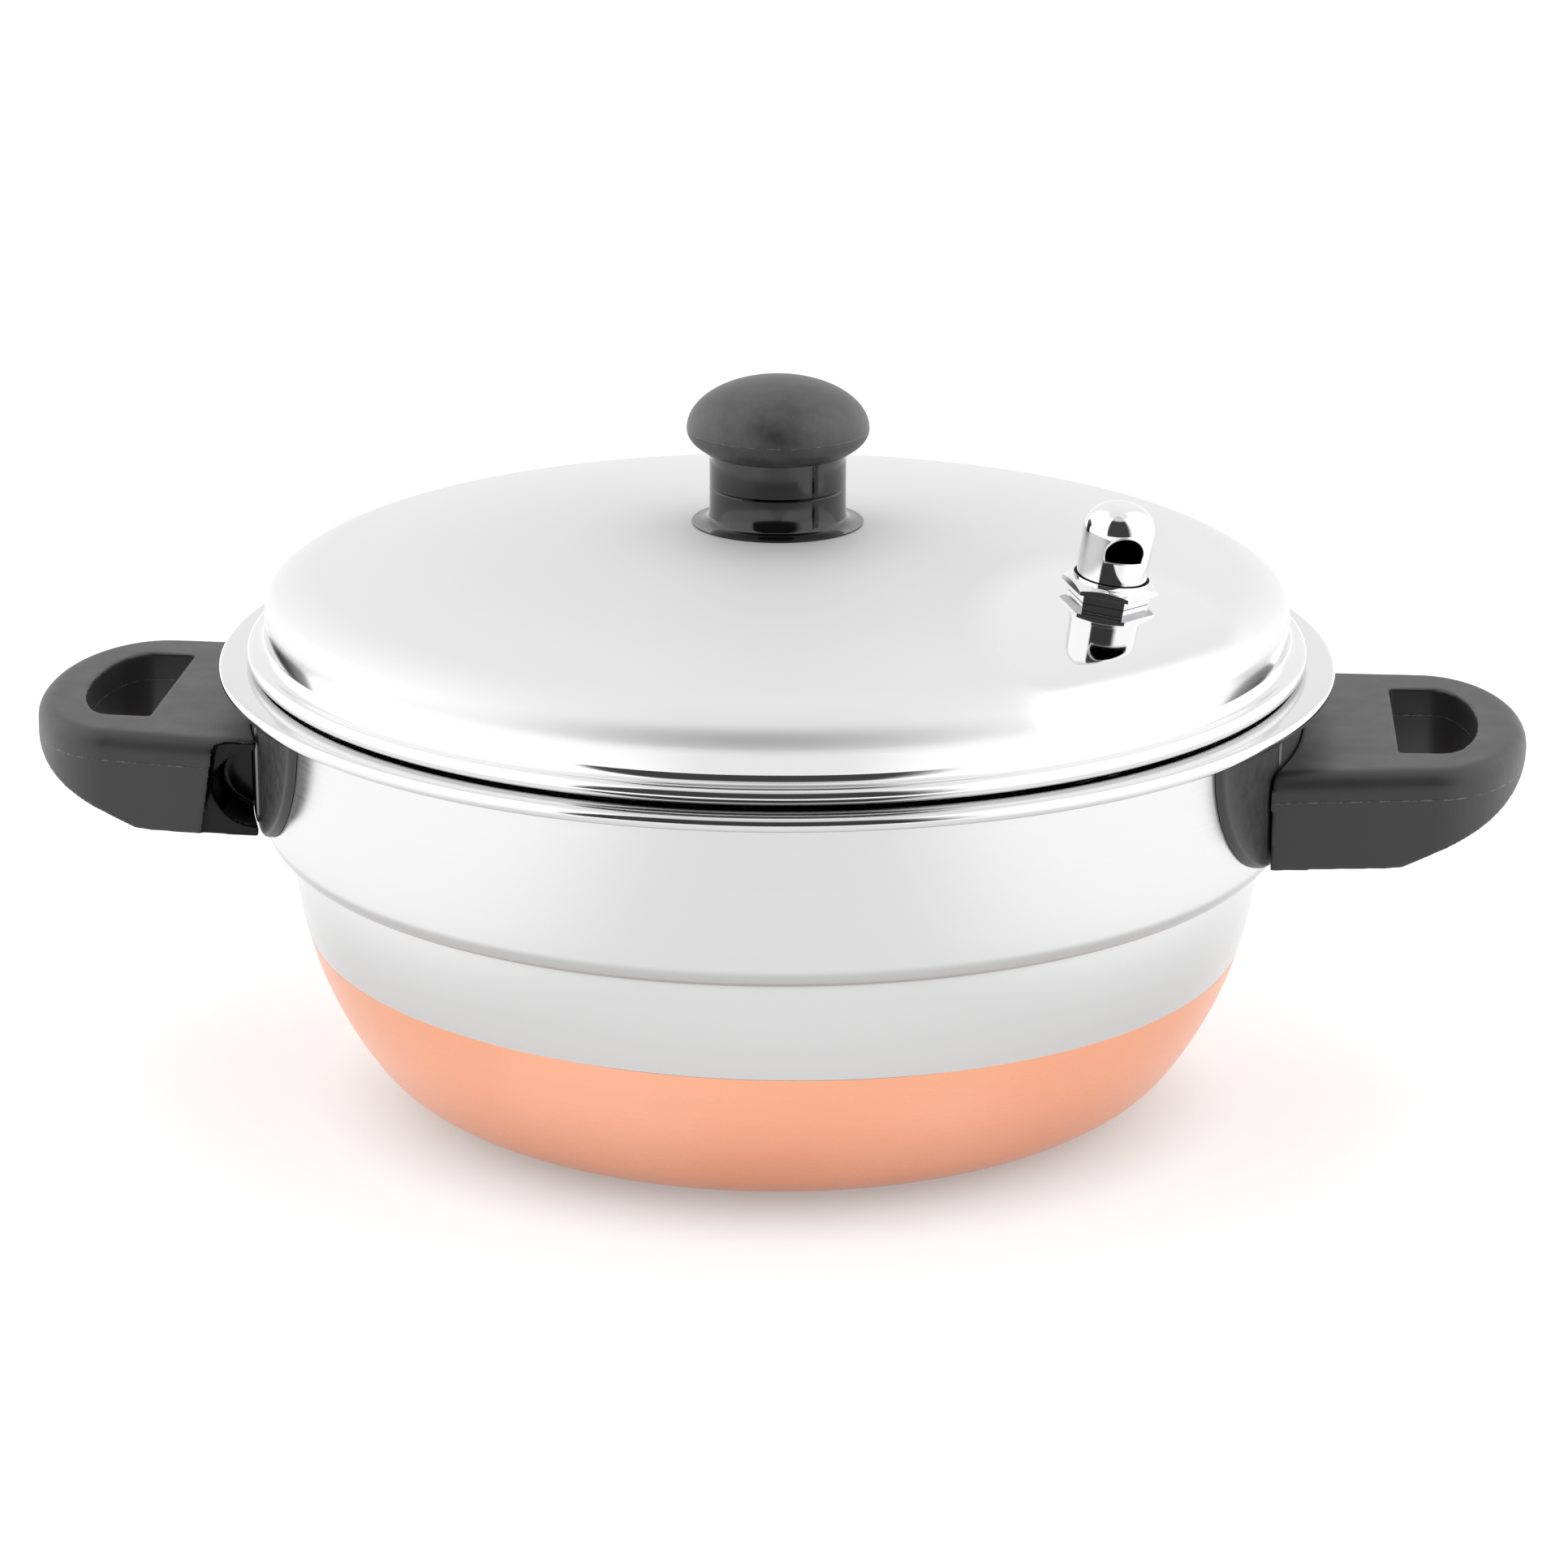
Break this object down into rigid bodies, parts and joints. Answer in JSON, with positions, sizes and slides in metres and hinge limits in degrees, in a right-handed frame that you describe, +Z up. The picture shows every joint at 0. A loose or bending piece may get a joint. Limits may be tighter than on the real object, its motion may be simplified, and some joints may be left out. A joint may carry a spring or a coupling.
{
  "type": "idli steamer",
  "caption": "Stepped steel steaming pot with copper-plated base, two side handles, domed lid with knob and steam vent, and a lift-out stack of idli plates.",
  "frame": {"origin": "on the pot's axis, in the plane of the flat base that it stands on", "axes": "+X towards the right handle as the picture shows it, -Y towards the viewer, +Z up"},
  "size_m": [0.3506, 0.2606, 0.1674],
  "materials": {
    "polished_stainless": "mirror polished stainless steel",
    "copper_plating": "satin copper plating",
    "moulded_phenolic": "moulded phenolic, matt",
    "gloss_phenolic": "moulded phenolic, gloss",
    "pressed_steel": "pressed stainless strip",
    "plated_steel": "bright zinc plated",
    "chrome_plate": "chrome plated",
    "brass_insert": "turned",
    "silicone_rubber": "moulded"
  },
  "bodies": {
    "pot": {"pot_shell": "polished_stainless", "copper_base": "copper_plating", "handle_bracket_left": "pressed_steel", "handle_bracket_right": "pressed_steel", "handle_saddle_left": "moulded_phenolic", "handle_saddle_right": "moulded_phenolic", "handle_backplate_left": "pressed_steel", "handle_backplate_right": "pressed_steel", "handle_grip_left": "moulded_phenolic", "handle_grip_right": "moulded_phenolic", "handle_screws": "plated_steel", "handle_washers": "plated_steel", "handle_inserts": "brass_insert"},
    "idli_stack": {"stack_rod": "polished_stainless", "rod_nut": "plated_steel", "stack_washers": "plated_steel", "plate_spacer": "polished_stainless", "idli_plate_lower": "polished_stainless", "idli_plate_upper": "polished_stainless"},
    "lifting_nut": {"wing_nut": "plated_steel"},
    "lid": {"lid_shell": "polished_stainless", "knob_cap": "moulded_phenolic", "knob_collar": "gloss_phenolic", "knob_insert": "brass_insert", "knob_screw": "plated_steel", "knob_washer": "plated_steel", "vent_nipple": "chrome_plate", "vent_cap": "chrome_plate", "vent_gasket": "silicone_rubber", "vent_nut": "chrome_plate"}
  },
  "joints": [
    {"name": "stack_lift", "type": "slide", "parent": "pot", "child": "idli_stack", "axis": [0, 0, 1], "range_m": [0, 0.12]},
    {"name": "lid_lift", "type": "slide", "parent": "idli_stack", "child": "lid", "axis": [0, 0, 1], "range_m": [0, 0.1]},
    {"name": "wing_nut_turn", "type": "hinge", "parent": "idli_stack", "child": "lifting_nut", "pos_m": [0, 0, 0.102], "axis": [0, 0, 1], "continuous": true}
  ]
}
